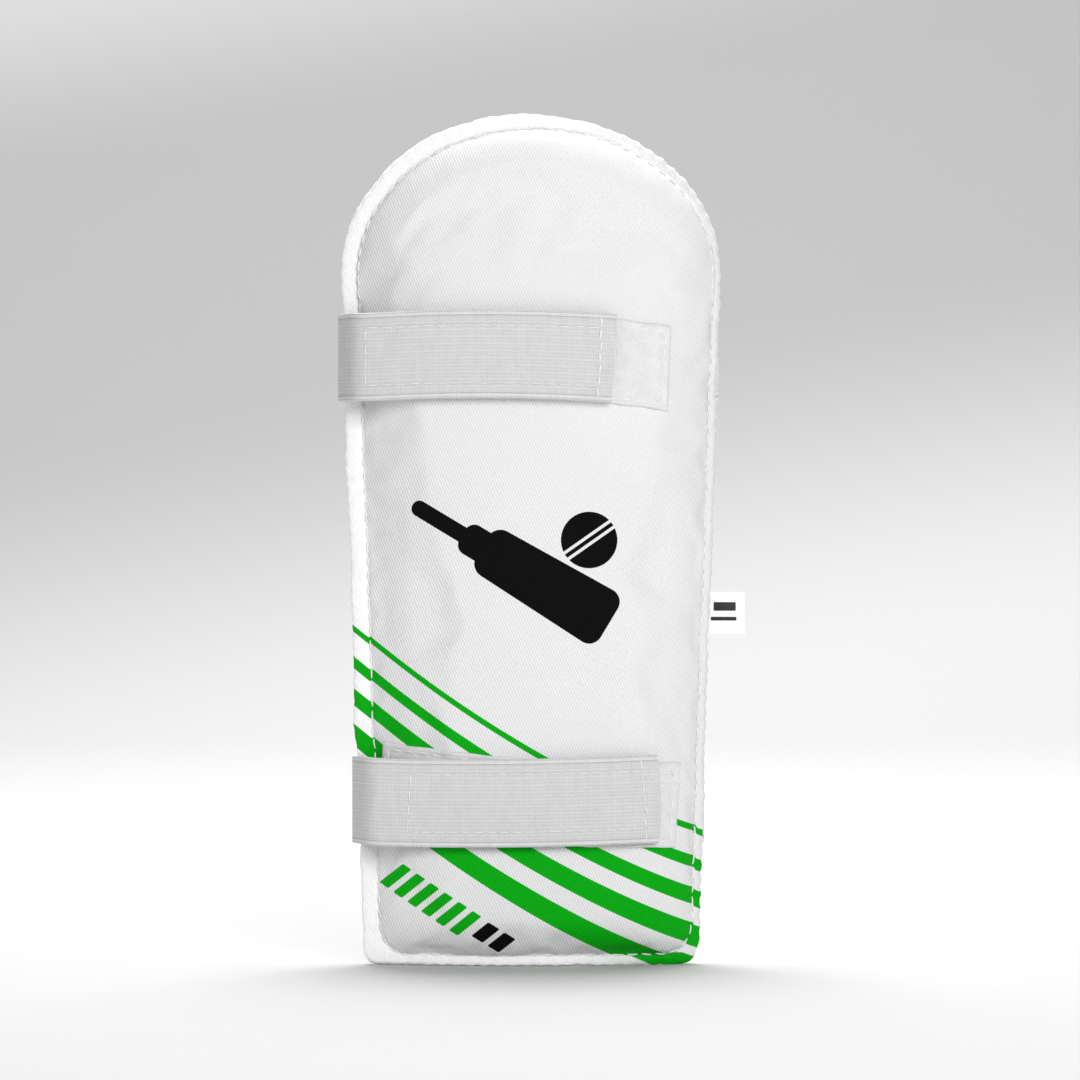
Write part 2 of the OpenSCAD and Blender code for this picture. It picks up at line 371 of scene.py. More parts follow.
def slanted_bars(x, z, first, count, pitch, width, height, start=(-38, 25.5)):
    """A row of equal slanted bars along a line that slopes down to the right."""
    along, across = turned(x, z, start, 33)
    along = along - across * 0.32
    place = (along / pitch + 0.5).op("FLOOR").max(first).min(first + count - 1)
    return rounded_box(along - place * pitch, across, width / 2, height / 2, 0.5).inside()


def twill(finish, u, v):
    """Relief of a twill weave, from 0 to 1: diagonal ridges broken into short floats."""
    wander = (finish.noise(9, 1) - 0.5) * 0.25
    across = u * 0.914 + v * 0.407 + wander
    along = v * 0.914 - u * 0.407
    ridge = across.wave(0.77)
    floats = (along + across * 0.6).wave(0.55)
    return ridge * 0.82 + floats * ridge * 0.18


def cover_cloth():
    """White polyester twill with its printed bands and emblem."""
    finish = Finish("cover_twill")
    u, v, _ = finish.axes
    x, _, z = finish.coordinates(mapped=False)[1]
    border = finish.layer("border")
    at_foot = (z * -1 + 4.4).clamped()
    z = z + border * (at_foot * -2.9 + 0.7)
    weave = twill(finish, u, v)
    fuzz = finish.noise(0.35, 3)
    cloudy = finish.noise(28, 3)
    # painted highlight: towards the right and the top, the weave's contrast fades and the cloth whitens, as
    # where the key light washes it out
    painted_glare = (x * 0.011 + z * 0.0022 + 0.1).clamped()
    seen = weave * (painted_glare * -0.45 + 0.75) + painted_glare * 0.32
    shade = seen + cloudy * 0.12 + fuzz * 0.13
    white = finish.mix(shade.clamped(), (0.62, 0.62, 0.63), (0.90, 0.90, 0.90))
    # painted highlight: the border is whitened, fully on the left and fading out to the right, so that it
    # looks brighter lit than the panel
    painted_border_highlight = border * (x * (-1 / 30) + 1.3).clamped()
    white = finish.mix(painted_border_highlight * 0.75, white, (0.98, 0.98, 0.98))
    green = finish.mix(weave * 0.7 + fuzz * 0.3, (0.001, 0.31, 0.004), GREEN)
    black = finish.mix(weave, (0.001, 0.001, 0.001), BLACK)
    green_shown = stripes(x, z).max(slanted_bars(x, z, 0, 6, 4.75, 3.0, 8.4))
    colour = finish.mix(green_shown, white, green)
    black_shown = emblem(x, z).max(slanted_bars(x, z, 6, 2, 5.4, 3.8, 6.0, (-39.5, 27.6)))
    colour = finish.mix(black_shown, colour, black)
    rumple = finish.noise(2.6, 3) * border
    relief = weave * 0.10 + fuzz * 0.03 + finish.noise(5, 2) * 0.14 + rumple * 0.45
    inked = green_shown.max(black_shown)
    roughness = weave * -0.08 + 0.88 - inked * 0.1
    return finish.finish(colour, relief, roughness, specular=0.08)


def plain_cloth(name, low, high, pitch=0.42, relief_t=0.03):
    """A plain-woven or brushed cloth."""
    finish = Finish(name)
    u, v, _ = finish.axes
    weave = u.wave(pitch) * v.wave(pitch, 0.5) + u.wave(pitch, 0.5) * v.wave(pitch)
    fuzz = finish.noise(0.6, 3)
    shade = (weave * 0.35 + fuzz * 0.4 + finish.noise(22, 3) * 0.3).clamped()
    colour = finish.mix(shade, low, high)
    relief = weave * relief_t + fuzz * relief_t * 2 + finish.noise(4, 2) * 0.1
    return finish.finish(colour, relief, fuzz * 0.1 + 0.82, sheen=0.2, specular=0.2)


def elastic_cloth():
    """Woven elastic: ribs along its length, crossed by fine weft threads, and bound edges."""
    finish = Finish("ribbed_elastic")
    u, v, _ = finish.axes
    edge = abs(v) * -1 + STRAP_W / 2
    rib = v.wave(1.0)
    weft = u.wave(0.62) * 0.6 + (u + v * 0.31).wave(0.62) * 0.4
    fuzz = finish.noise(0.45, 3)
    uneven = finish.noise(2.2, 3, stretch=(1, 0.25, 1))
    bound = (edge - 1.4).inside(0.2)
    # painted shade: the colour is darkened along the grooves near each edge, where shade falls in them
    line = (abs(edge - 1.5) - 0.13).inside(0.12).max((abs(edge - 0.45) - 0.07).inside(0.1))
    shade = rib * 0.13 + weft * 0.37 + fuzz * 0.25 + uneven * 0.25 + bound * 0.22 - line * 0.55
    colour = finish.mix(shade.clamped(), (0.42, 0.42, 0.43), (0.81, 0.81, 0.81))
    relief = rib * 0.06 + weft * 0.08 + fuzz * 0.08 + uneven * 0.05 - line * 0.1
    return finish.finish(colour, relief, fuzz * 0.15 + 0.78, specular=0.15)


def loop_cloth():
    """Brushed loop tape: a tangled pile with a little gloss."""
    finish = Finish("loop_pile")
    pile = finish.noise(0.9, 5) * 0.6 + finish.noise(0.35, 4) * 0.4
    matted = finish.noise(4.5, 3)
    colour = finish.mix((pile * 0.7 + matted * 0.5).clamped(), (0.56, 0.56, 0.57), (0.86, 0.86, 0.86))
    relief = pile * 0.42 + matted * 0.3
    return finish.finish(colour, relief, pile * 0.3 + 0.5, sheen=0.1, specular=0.25)


def hook_plastic():
    finish = Finish("nylon_hook")
    grain = finish.noise(0.4, 3)
    colour = finish.mix(grain, (0.72, 0.72, 0.73), (0.88, 0.88, 0.88))
    return finish.finish(colour, grain * 0.03, grain * 0.15 + 0.38, specular=0.45)


def foam(name, low, high, cell):
    """Foam: small cells on a cut surface."""
    finish = Finish(name, mapped=False)
    cells = finish.tree.nodes.new("ShaderNodeTexVoronoi")
    cells.inputs["Scale"].default_value = 1 / (cell * MM)
    finish.tree.links.new(finish.place, cells.inputs["Vector"])
    pores = Field(finish.tree, cells.outputs["Distance"])
    tint = (pores * 0.9 + finish.noise(12, 2) * 0.2).clamped()
    colour = finish.mix(tint, low, high)
    return finish.finish(colour, pores * 0.3, pores * 0.1 + 0.8, specular=0.2)


def thread_fibre():
    """Twisted sewing thread."""
    finish = Finish("sewing_thread")
    u, v, _ = finish.axes
    twist = (u + v * 0.8).wave(0.5)
    colour = finish.mix(twist * 0.7 + finish.noise(0.6, 2) * 0.3, (0.74, 0.74, 0.74), (0.97, 0.97, 0.97))
    return finish.finish(colour, twist * 0.05, twist * -0.1 + 0.6, sheen=0.2)


def label_satin():
    """Satin ribbon with two plain printed lines on its front."""
    finish = Finish("label_satin")
    u, v, _ = finish.axes
    rib = v.wave(0.28)
    float_u = u.wave(0.5)
    white = finish.mix(rib * 0.5 + finish.noise(3, 2) * 0.5, (0.90, 0.90, 0.90), (0.99, 0.99, 0.99))
    wide = rounded_box(u - 6.6, v - 2.0, 3.2, 1.25, 0.3)
    thin = rounded_box(u - 6.3, v + 1.5, 3.7, 0.55, 0.3)
    colour = finish.mix(wide.min(thin).inside(0.1), white, (0.006, 0.006, 0.006))
    return finish.finish(colour, rib * 0.02 + float_u * 0.01, rib * 0.1 + 0.42, sheen=0.1, specular=0.45)


# ---- the pad's shape ----

NX, NZ = 46, 104                # steps across and along the pad's mesh before it is subdivided
AROUND = 2 * (NX + NZ)
BORDER_RINGS = [0, 0.05, 0.16, 0.34, 0.56, 0.78, 0.92, 1]
SHOULDER_RINGS = [0.6, 1.4, 2.5, 4.0, 5.8, 8.0, 10.5]


EDGE_WAVES = [(n, size, rng.uniform(0, math.tau)) for n, size in
              ((7, 0.22), (19, 0.13), (37, 0.09), (53, 0.08), (71, 0.06))]


def strap_hold(x, z):
    """1 where a strap holds the pad's left edge, and 0 away from the straps."""
    reach = STRAP_W / 2 + 2.5
    return sum(np.exp(-((z - strap["z"]) / reach) ** 4) for strap in STRAPS.values()) * (x < 0)


def strained(loop, share, inset):
    """A loop with the small unevenness of a sewn edge, pulled in on the left by each strap."""
    turn = np.arange(len(loop)) / len(loop) * math.tau
    wave = sum(size * np.cos(n * turn + phase) for n, size, phase in EDGE_WAVES)
    way = np.gradient(np.concatenate([loop[-1:], loop, loop[:1]]), axis=0)[1:-1]
    away = np.stack([way[:, 1], -way[:, 0]], 1) / np.linalg.norm(way, axis=1, keepdims=True)
    held = strap_hold(loop[:, 0], loop[:, 1])
    fade = (1 - 0.6 * share) * math.exp(-inset / 3)
    out = loop + away * (wave * (1 - 0.8 * held) * fade)[:, None]
    out[:, 0] += held * SQUEEZE * fade
    out[:, 1] = np.maximum(out[:, 1], BORDER["bottom"] * share * 0.8)
    return out


def pad_loop(share, inset):
    """A closed loop on the pad, in x and z. share goes from 0, the outline, to 1, the seam at the
    inside of the border, and inset is how far inside the seam the loop runs."""
    gap = {side: width * share + inset for side, width in BORDER.items()}
    corner = CORNER_R + (PANEL_CORNER_R - CORNER_R) * share + inset * 0.5

    def left(z):
        return -half_width(z) + gap["left"]

    def right(z):
        return half_width(z) - gap["right"]

    def arc(cx, cz, rx, rz, start, stop, count=24):
        t = np.radians(np.linspace(start, stop, count))
        return np.stack([cx + rx * np.cos(t), cz + rz * np.sin(t)], 1)

    low = gap["bottom"]
    left_x, right_x = left(low) + corner, right(low) - corner
    dome_x = (left(DOME_Z) + right(DOME_Z)) / 2
    dome_rx = (right(DOME_Z) - left(DOME_Z)) / 2
    dome_rz = GUARD_H - gap["top"] - DOME_Z

    def corner_arc(x, start, stop):
        return arc(x, low + corner, corner, corner, start, stop)

    def dome(start, stop):
        return arc(dome_x, DOME_Z, dome_rx, dome_rz, start, stop, 60)

    bottom = np.concatenate([corner_arc(left_x, 225, 270), corner_arc(right_x, 270, 315)])
    up = np.concatenate([corner_arc(right_x, 315, 360), dome(0, 45)])
    over = dome(45, 135)
    down = np.concatenate([dome(135, 180), corner_arc(left_x, 180, 225)])
    runs = [resampled(bottom, NX), resampled(up, NZ), resampled(over, NX), resampled(down, NZ)]
    return strained(np.concatenate([run[:-1] for run in runs]), share, inset)


def filled_grid(loop):
    """Points of a grid inside a loop: its four runs are joined across, then evened out."""
    bottom, right = loop[:NX + 1], loop[NX:NX + NZ + 1]
    top = loop[NX + NZ:2 * NX + NZ + 1][::-1]
    left = np.concatenate([loop[2 * NX + NZ:], loop[:1]])[::-1]
    u = np.linspace(0, 1, NX + 1)[:, None, None]
    v = np.linspace(0, 1, NZ + 1)[None, :, None]
    across = (1 - v) * bottom[:, None] + v * top[:, None]
    along = (1 - u) * left[None] + u * right[None]
    corners = ((1 - u) * (1 - v) * bottom[0] + u * (1 - v) * bottom[-1]
               + (1 - u) * v * top[0] + u * v * top[-1])
    grid = across + along - corners
    for _ in range(150):
        grid[1:-1, 1:-1] = (grid[:-2, 1:-1] + grid[2:, 1:-1] + grid[1:-1, :-2] + grid[1:-1, 2:]) / 4
    return grid


def pad_layout(shares, insets):
    """Flat layout of one cloth of the pad: points in x and z, faces, the share of the way in from
    the edge to the seam, and the inset from the seam. Rings run round it, and a grid fills it."""
    rings = [(share, 0) for share in shares] + [(1, inset) for inset in insets]
    loops = [pad_loop(share, inset) for share, inset in rings]
    grid = filled_grid(loops[-1])
    points = np.concatenate(loops + [grid[1:-1, 1:-1].reshape(-1, 2)])
    share = np.repeat([r[0] for r in rings], AROUND)
    inset = np.repeat([r[1] for r in rings], AROUND)
    inner = len(points) - len(share)
    share = np.concatenate([share, np.ones(inner)])
    inset = np.concatenate([inset, np.full(inner, rings[-1][1] + 1.5)])
    faces = tube_faces(len(rings), AROUND)
    last, first_inner = (len(rings) - 1) * AROUND, len(rings) * AROUND

    def index(i, j):
        if j == 0:
            return last + i
        if i == NX:
            return last + NX + j
        if j == NZ:
            return last + NX + NZ + (NX - i)
        if i == 0:
            return last + (AROUND - j) % AROUND
        return first_inner + (i - 1) * (NZ - 1) + j - 1

    for i in range(NX):
        for j in range(NZ):
            faces.append((index(i, j), index(i + 1, j), index(i + 1, j + 1), index(i, j + 1)))
    return points, faces, share, inset


def border_half(share):
    """Half the border's thickness: round at the edge, full in the middle, pressed at the seam."""
    edge = eased_edge(share, 0.28)
    pressed = smooth_step((share - 0.7) / 0.3)
    return BORDER_HALF_T * edge * (1 - pressed) + SEAM_HALF_T * pressed


def middle_surface(points, share):
    """The pad's bent middle surface. The border curls back on the right, and springs forward on
    the left wherever no strap holds it."""
    x, z = points[:, 0], points[:, 1]
    curl = CURL_BACK * facing(x, 1) * (1 - share) ** 1.2
    flare = FLARE * facing(x, -1) * (1 - strap_hold(x, z)) * (1 - share)
    return np.stack([x, on_cylinder(x, BEND_R) + curl - flare, z], 1)


def vertex_normals(points, faces):
    """Normals that face the front, from the faces around each point."""
    corner = np.array(faces)
    a, b, c, d = (points[corner[:, k]] for k in range(4))
    face_normal = np.cross(c - a, d - b)
    total = np.zeros_like(points)
    for k in range(4):
        np.add.at(total, corner[:, k], face_normal)
    return total / np.linalg.norm(total, axis=1, keepdims=True)


def pad_start():
    """Front and arm side of the pad before it is filled, a little thinner than the real one."""
    points, faces, share, inset = pad_layout(BORDER_RINGS, SHOULDER_RINGS)
    middle = middle_surface(points, share)
    normal = vertex_normals(middle, faces)
    border = border_half(share)
    on_left = facing(points[:, 0], -1)
    bowl = FRONT_DEPTH * eased_edge(inset, 11 + 5 * on_left, 1.8 - 0.25 * on_left)
    hollow = BACK_DEPTH * eased_edge(inset, 9)
    front = middle + normal * np.where(share < 1, border, SEAM_HALF_T + bowl)[:, None]
    back = middle - normal * np.where(share < 1, border, SEAM_HALF_T + hollow)[:, None]
    return front, back, faces, share, inset, border


def filled(front, back, faces):
    """The two cloths, sewn together round the edge, swollen by cloth simulation from inside."""
    count = len(front)
    second = np.where(np.arange(count) < AROUND, np.arange(count), np.arange(count) + count - AROUND)
    verts = np.concatenate([front, back[AROUND:]])
    backs = [tuple(int(second[i]) for i in reversed(face)) for face in faces]
    blank = make_piece("pad_filling", verts, faces + backs, None)
    pins = blank.vertex_groups.new(name="sewn")
    held = np.zeros(len(verts), bool)
    held[:AROUND * len(BORDER_RINGS)] = True
    held[count:count + AROUND * (len(BORDER_RINGS) - 1)] = True
    pins.add([int(i) for i in np.flatnonzero(held)], 1.0, "REPLACE")
    cloth = blank.modifiers.new("cloth", "CLOTH").settings
    cloth.quality = 5
    cloth.mass = 0.2
    cloth.tension_stiffness = cloth.compression_stiffness = 30
    cloth.shear_stiffness = 10
    cloth.bending_stiffness = 1.5
    cloth.use_pressure = True
    cloth.uniform_pressure_force = 4
    cloth.shrink_min = -0.012
    cloth.vertex_group_mass = "sewn"
    cloth.effector_weights.gravity = 0
    scene = bpy.context.scene
    for step in range(1, SIM_STEPS + 1):
        scene.frame_set(step)
    moved = mesh_arrays(blank)[0]
    scene.frame_set(1)
    bpy.data.objects.remove(blank)
    travel = moved - verts
    far = np.linalg.norm(travel, axis=1, keepdims=True)
    verts = verts + travel * np.minimum(1, SWELL / np.maximum(far, 1e-6))
    return verts[:count], verts[second]


def pressed_between(verts, low_r, high_r):
    """Keeps a surface between two distances from the bend axis."""
    out = verts.copy()
    x, y = verts[:, 0], verts[:, 1] - BEND_R
    r = np.hypot(x, y)
    kept = np.clip(r, low_r, high_r)
    out[:, 0] = x * kept / r
    out[:, 1] = BEND_R + y * kept / r
    return out


def smoother(name, verts, faces, layers):
    """The surface after one subdivision, with its layers."""
    rough = make_piece(name, verts, faces, None)
    for key, values in layers.items():
        layer = rough.data.attributes.new(key, "FLOAT", "POINT")
        layer.data.foreach_set("value", np.asarray(values, np.float32))
    rough.modifiers.new("finer", "SUBSURF").levels = 1
    arrays = mesh_arrays(rough)
    bpy.data.objects.remove(rough)
    return arrays


def seam_line():
    """The closed line of the seam, its length and its number of stitches."""
    loop = pad_loop(SEAM_AT, 0)
    loop = np.concatenate([loop, loop[:1]])
    total = lengths_along(loop)[-1]
    return loop, total, int(round(total / STITCH_PITCH))


def stitched_down(verts, normals, share, inset):
    """Pulls the cloth in at each stitch of the seam, and lets it puff and pucker in between."""
    loop, total, count = seam_line()
    fine = resampled(loop, int(total / 0.25))
    tree = KDTree(len(fine))
    for k, (x, z) in enumerate(fine):
        tree.insert((x, z, 0), k)
    tree.balance()
    pitch = total / count
    out = verts.copy()
    for i in np.flatnonzero(inset < NEAR_SEAM):
        _, k, _ = tree.find((verts[i, 0], verts[i, 2], 0))
        place_s = k / (len(fine) - 1) * total
        between = math.cos(math.tau * place_s / pitch)
        uneven = 0.7 + 0.3 * math.sin(place_s / 17 + 2 * math.sin(place_s / 41))
        if share[i] < 1:
            aside = verts[i, [0, 2]] - fine[k]
            aside = aside / max(np.linalg.norm(aside), 1e-6) * (1 - share[i]) * 0.07 * between
            out[i, [0, 2]] += aside
            reach = 0.13 * math.sin(math.pi * min(share[i] * 0.6 + 0.4, 1)) + 0.06
            reach *= smooth_step(share[i] / 0.1)
            fold = 0.10 * math.sin(place_s / 1.9 + 2 * math.sin(place_s / 9))
            fold *= share[i] * (1 - share[i]) * 4
        else:
            reach = 0.2 * math.exp(-inset[i] / 1.8)
            fold = 0.17 * math.sin(place_s / 2.1 + 2 * math.sin(place_s / 13)) * math.exp(-inset[i] / 4)
            fold *= 1 - math.exp(-inset[i])
        out[i] += normals[i] * (between * reach + fold) * uneven
    return out


def cloth_shell(name, verts, normals, faces, thickness, material, border):
    """A closed cloth of this thickness. verts is its outer face, and its rim is a single edge."""
    edges = Counter(tuple(sorted(pair)) for face in faces for pair in zip(face, face[1:] + face[:1]))
    rim = {i for edge, uses in edges.items() if uses == 1 for i in edge}
    free = [i for i in range(len(verts)) if i not in rim]
    second = np.arange(len(verts))
    second[free] = len(verts) + np.arange(len(free))
    inner_faces = [tuple(int(second[i]) for i in reversed(face)) for face in faces]
    inner = verts - normals * thickness[:, None]
    everything = np.concatenate([verts, inner[free]])
    around = BEND_R * np.arcsin(np.clip(everything[:, 0] / BEND_R, -1, 1))
    uv = np.stack([around, everything[:, 2]], 1)
    piece = make_piece(name, everything, list(faces) + inner_faces, material, uv)
    layer = piece.data.attributes.new("border", "FLOAT", "POINT")
    layer.data.foreach_set("value", np.concatenate([border, border[free]]).astype(np.float32))
    return piece


def make_pad(cover_material, lining_material):
    """The two sewn cloths of the pad, and the surfaces that other pieces are laid on."""
    front, back, faces, share, inset, border = pad_start()
    front, back = filled(front, back, faces)
    front = pressed_between(front, 0, FRONT_R)
    back = pressed_between(back, BACK_R, 200)
    layers = {"share": share, "inset": np.minimum(inset, NEAR_SEAM + 0.5), "half": border}
    shells = {}
    turned_faces = [face[::-1] for face in faces]
    for side, surface, order, material in (("cover", front, faces, cover_material),
                                           ("lining", back, turned_faces, lining_material)):
        verts, normals, finer, found = smoother(side, surface, order, layers)
        verts = stitched_down(verts, normals, found["share"], found["inset"])
        inside = smooth_step(found["inset"] / 2)
        thickness = found["half"] * (1 - inside) * 0.98 + CLOTH_T * inside
        thickness = np.where(found["share"] > 0.999, np.maximum(thickness, 0.35), thickness)
        border_layer = 1 - smooth_step((found["share"] - 0.9) / 0.1)
        shells[side] = cloth_shell(f"{side}_cloth", verts, normals, finer, thickness, material,
                                   border_layer)
        inner = verts - normals * thickness[:, None]
        for key, points in (("_surface", verts), ("_inside", inner)):
            shells[side + key] = BVHTree.FromPolygons([Vector(v) for v in points], finer)
    return shells


# ---- what fills the pad ----

def radial_room(trees, x, z, r):
    """Distances from the bend axis of the cover's and the lining's inner faces, at each point."""
    out = np.zeros((2, len(x)))
    for i in range(len(x)):
        start = Vector((x[i], on_cylinder(x[i], r), z[i]))
        away = Vector((x[i], start.y - BEND_R, 0)).normalized()
        for k, (tree, way) in enumerate(zip(trees, (away, -away))):
            gap = tree.ray_cast(start, way)[3]
            out[k, i] = r + (gap or 0) * (1 - 2 * k)
    return out


def layer_sheet(name, x, z, high, low, faces, material):
    """A closed sheet between two distances from the bend axis, with a softened rim."""
    rim = np.arange(len(x)) < AROUND
    ease = np.minimum(0.5, (high - low) * 0.3) * rim
    depth = np.sqrt(BEND_R ** 2 - x * x)

    def at(r):
        return np.stack([x * r / BEND_R, BEND_R - depth * r / BEND_R, z], 1)

    return make_piece(name, *slab(at(high - ease), at(low + ease), faces, list(range(AROUND))), material)


def make_filling(pad):
    """Wadding, high-density foam and soft foam, cut to lie inside the sewn cloths."""
    gap, wadding_t, soft_share = 0.3, 1.9, 0.31
    points, faces, _, _ = pad_layout([1], [3, 3.8, 4.8, 6.2, 8, 10.5])
    points, faces = points[AROUND:], [tuple(i - AROUND for i in face)
                                      for face in faces if min(face) >= AROUND]
    x, z = points[:, 0], points[:, 1]
    front, back = radial_room((pad["cover_inside"], pad["lining_inside"]), x, z, BEND_R)
    front, back = front - gap, back + gap
    middle_r = back + (front - back) * soft_share
    edge = np.minimum((front - middle_r) * 0.5, wadding_t)
    core_top = front - edge
    sheets = (
        ("wadding_layer", "wadding_sheet", "wadding", front, core_top + 0.1,
         plain_cloth("polyester_wadding", (0.78, 0.78, 0.77), (0.97, 0.97, 0.96), 3.0, 0.1)),
        ("impact_foam", "hd_foam_core", "hd_foam", core_top, middle_r + 0.1,
         foam("closed_cell_foam", (0.30, 0.36, 0.45), (0.52, 0.58, 0.66), 0.35)),
        ("comfort_foam", "soft_foam_liner", "soft_foam", middle_r, back,
         foam("open_cell_foam", (0.72, 0.66, 0.42), (0.93, 0.89, 0.68), 0.8)),
    )
    for name, node, slot, high, low, material in sheets:
        high = np.maximum(high, low + 0.2)
        place(layer_sheet(name, x, z, high, low, faces, material), "pad", slot, node)


# ---- ribbons and stitches ----

def place(piece, body, slot, *nodes):
    """The piece moves with a body, or bends between two, and stands for these CAD nodes."""
    if isinstance(body, tuple):
        first, second, start, end = body
        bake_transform(piece, first, second, start=start, end=end)
    else:
        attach(piece, body)
    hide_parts(*nodes)
    return piece


def rounded(points, cuts):
    """A polyline whose inner corners are replaced by short curves. cuts are their lengths."""
    points = [np.asarray(p, float) for p in points]
    out = [points[0]]
    for before, corner, after, cut in zip(points, points[1:], points[2:], cuts):
        a = corner + (before - corner) * min(0.5, cut / np.linalg.norm(before - corner))
        b = corner + (after - corner) * min(0.5, cut / np.linalg.norm(after - corner))
        for t in np.linspace(0, 1, 9):
            out.append(a * (1 - t) ** 2 + corner * 2 * t * (1 - t) + b * t * t)
    out.append(points[-1])
    return np.array(out)


def arc_at(x0, x1, r, count=60):
    """Arc in plan about the bend axis, from one x to another."""
    t = np.linspace(math.asin(x0 / r), math.asin(x1 / r), count)
    return np.stack([r * np.sin(t), BEND_R - r * np.cos(t)], 1)


def outward_of(path):
    """Unit normals in plan on the left of a path that runs from the right edge round the pad."""
    way = np.gradient(path, axis=0)
    way /= np.linalg.norm(way, axis=1, keepdims=True)
    return np.stack([way[:, 1], -way[:, 0]], 1)


def ribbon(path, z, across, outer, inner, along=None):
    """Vertices, faces and map of a closed ribbon that follows a path in plan. across are heights
    from its middle, and outer and inner are its faces' distances outside the path, each
    (steps, columns). along gives the map's lengths."""
    normal = outward_of(path)
    steps, columns = outer.shape
    along = lengths_along(path) if along is None else along
    rows = [(across[c], outer[:, c]) for c in range(columns)]
    rows += [(across[c], inner[:, c]) for c in range(columns - 2, 0, -1)]
    verts = np.zeros((steps, len(rows), 3))
    uv = np.zeros((steps, len(rows), 2))
    for c, (height, out) in enumerate(rows):
        verts[:, c, :2] = path + normal * out[:, None]
        verts[:, c, 2] = z + height
        uv[:, c, 0] = along
        uv[:, c, 1] = height
    count = len(rows)
    faces = tube_faces(steps, count, inward=True)
    for base, turn in ((0, 1), ((steps - 1) * count, -1)):
        for c in range(columns - 1):
            quad = [base + c, base + c + 1, base + (count - c - 1) % count, base + (count - c) % count]
            quad = list(dict.fromkeys(quad))
            if len(quad) > 2:
                faces.append(tuple(quad[::turn]))
    return verts.reshape(-1, 3), faces, uv.reshape(-1, 2)


def sharp_ends(piece):
    """Marks the edges of square ends as sharp, so that they shade crisply."""
    limit = math.cos(math.radians(60))
    mesh = piece.data
    mesh.update()
    around = {}
    for polygon in mesh.polygons:
        for key in polygon.edge_keys:
            around.setdefault(key, []).append(polygon.normal.copy())
    for edge in mesh.edges:
        found = around.get(edge.key, [])
        if len(found) == 2 and found[0].dot(found[1]) < limit:
            edge.use_edge_sharp = True


def one_stitch(start, stop, normal, thickness=THREAD_D):
    """One stitch: a short round thread that bows up between its two holes."""
    sides = 6
    start, stop, normal = (np.asarray(p, float) for p in (start, stop, normal))
    normal = normal / np.linalg.norm(normal)
    way = (stop - start) / np.linalg.norm(stop - start)
    side = np.cross(way, normal)
    places = np.array([-1, -0.86, -0.45, 0, 0.45, 0.86, 1])
    turn = np.linspace(0, math.tau, sides, endpoint=False)
    verts, uv = [], []
    for s in places:
        radius = thickness / 2 * (1 - abs(s) ** 5) ** 0.5 if abs(s) < 1 else thickness * 0.1
        lift = thickness * (0.30 - 0.62 * s ** 4)
        centre = (start + stop) / 2 + (stop - start) / 2 * s + normal * lift
        for t in turn:
            verts.append(centre + (side * math.cos(t) + normal * math.sin(t)) * radius)
            uv.append((s * np.linalg.norm(stop - start) / 2, t / math.tau * thickness * 3))
    faces = tube_faces(len(places), sides)
    faces.append(tuple(range(sides))[::-1])
    faces.append(tuple(range((len(places) - 1) * sides, len(places) * sides)))
    return np.array(verts), faces, np.array(uv)


def stitch_row(corners, surface, pitch=3.8, length=STITCH_LEN, thickness=FINE_THREAD_D, wobble=0.12):
    """Stitches along a polyline of flat places. surface gives the point and normal at a place."""
    parts = []
    for a, b in zip(corners, corners[1:]):
        a, b = np.asarray(a, float), np.asarray(b, float)
        run = np.linalg.norm(b - a)
        count = max(1, int(round(run / pitch)))
        way = (b - a) / run
        aside = np.array([-way[1], way[0]])
        for k in range(count):
            middle = a + way * run * (k + 0.5) / count
            half = way * length / 2 + aside * rng.uniform(-wobble, wobble)
            middle = middle + aside * rng.uniform(-wobble, wobble) * 0.6
            start, normal = surface(*(middle - half))
            stop, _ = surface(*(middle + half))
            parts.append(one_stitch(start, stop, normal, thickness))
    return parts


def gathered(name, parts, material):
    """One piece from many small closed parts, each given as (verts, faces, uv)."""
    faces, first = [], 0
    for verts, part_faces, _ in parts:
        faces += [tuple(i + first for i in face) for face in part_faces]
        first += len(verts)
    verts, uv = (np.concatenate([part[k] for part in parts]) for k in (0, 2))
    return make_piece(name, verts, faces, material, uv)


# ---- straps ----

def strap_plan(z, end):
    """Inner face of one strap in plan: from its sewn end behind the right edge, along the arm
    side, round the left edge, and over the front to its end."""
    e = half_width(z + STRAP_W / 2)
    chord_y = on_cylinder(e - 5.5, BACK_R) + 0.3
    fold_x = -(e - 0.3)
    fold_y = on_cylinder(e, BEND_R - 0.6)
    reach = 1.75
    shoulder_x = -(e - 4.8)
    points = [(e - 0.5, chord_y - 4.6), (e - 2.4, chord_y - 2.4), (e - 5.4, chord_y),
              (-(e - 5.25), chord_y), (fold_x, fold_y + reach), (fold_x, fold_y - reach),
              (shoulder_x, on_cylinder(shoulder_x, ELASTIC_R)),
              tuple(arc_at(shoulder_x + 6, shoulder_x + 7, ELASTIC_R, 2)[0])]
    bend = rounded(points, (1.2, 2.5, 3.0, 1.7, 1.7, 5.0))
    return np.concatenate([bend, arc_at(shoulder_x + 6.3, end, ELASTIC_R, 80)])


def draped(parts, level):
    """Parts of a strap, strayed from level like a worn strap on its front run."""
    strap = STRAPS[level]
    out = []
    for verts, faces, uv in parts:
        verts = np.array(verts, float)
        up = (verts[:, 2] - strap["z"]) / (STRAP_W / 2)
        front = smooth_step(-verts[:, 1] / 8)
        share = np.clip((verts[:, 0] + 50) / (strap["end"] + 50), 0, 1)
        near_end = smooth_step((verts[:, 0] - strap["end"] + 12) / 12) * front
        verts[:, 2] += front * (strap["arch"] * (4 * share * (1 - share) - 0.5)
                                + strap["rise"] * (share - 0.5))
        verts[:, 0] += near_end * (strap["skew"] * up + strap["bow"] * (0.5 - up * up))
        out.append((verts, faces, uv))
    return out


def on_elastic(z):
    """Point and outward normal on the strap's front run, at a place in x and height."""
    def surface(x, height):
        y = on_cylinder(x, ELASTIC_R + ELASTIC_T)
        return (x, y, z + height), (x, y - BEND_R, 0)
    return surface


